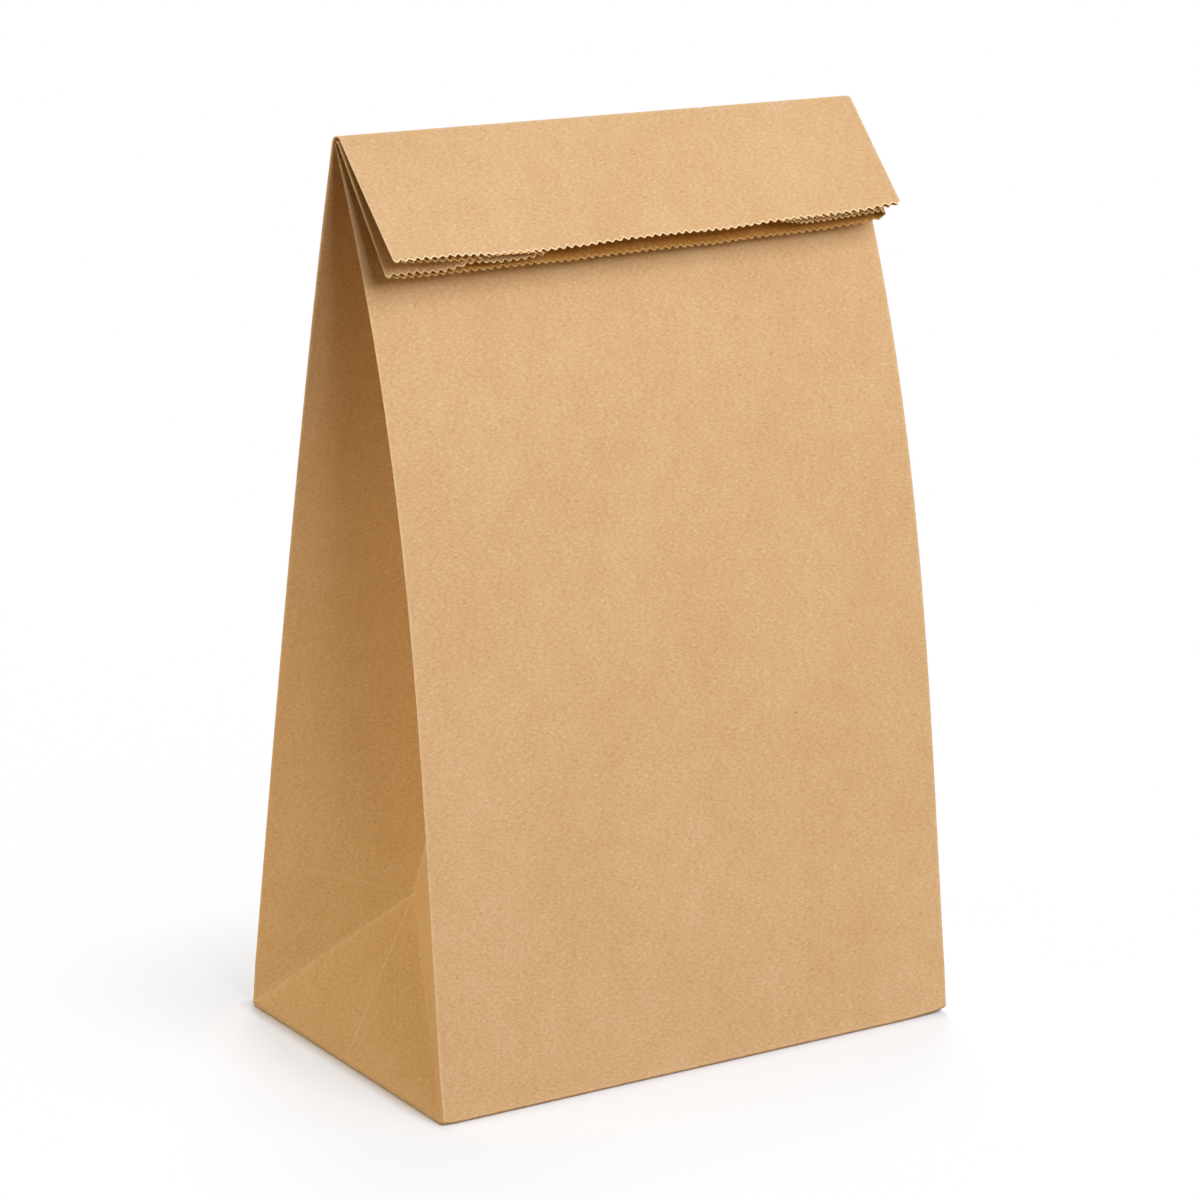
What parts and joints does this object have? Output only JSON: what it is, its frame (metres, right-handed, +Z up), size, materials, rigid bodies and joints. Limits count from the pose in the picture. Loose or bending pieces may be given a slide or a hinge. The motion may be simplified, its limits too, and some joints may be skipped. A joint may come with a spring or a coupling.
{
  "type": "paper lunch bag",
  "caption": "Brown kraft paper lunch bag standing on its flat base, with gusseted sides and its serrated mouth folded over once to the front.",
  "frame": {"origin": "middle of the base, on the surface that the bag stands on", "axes": "+Z up, +X along the bag's width to the right of a person facing its front, -Y out of the front, to which the mouth is folded"},
  "size_m": [0.13, 0.08, 0.1965],
  "materials": {
    "kraft_paper": "matte uncoated brown kraft"
  },
  "bodies": {
    "root": {"paper_bag": "kraft_paper"}
  },
  "joints": []
}
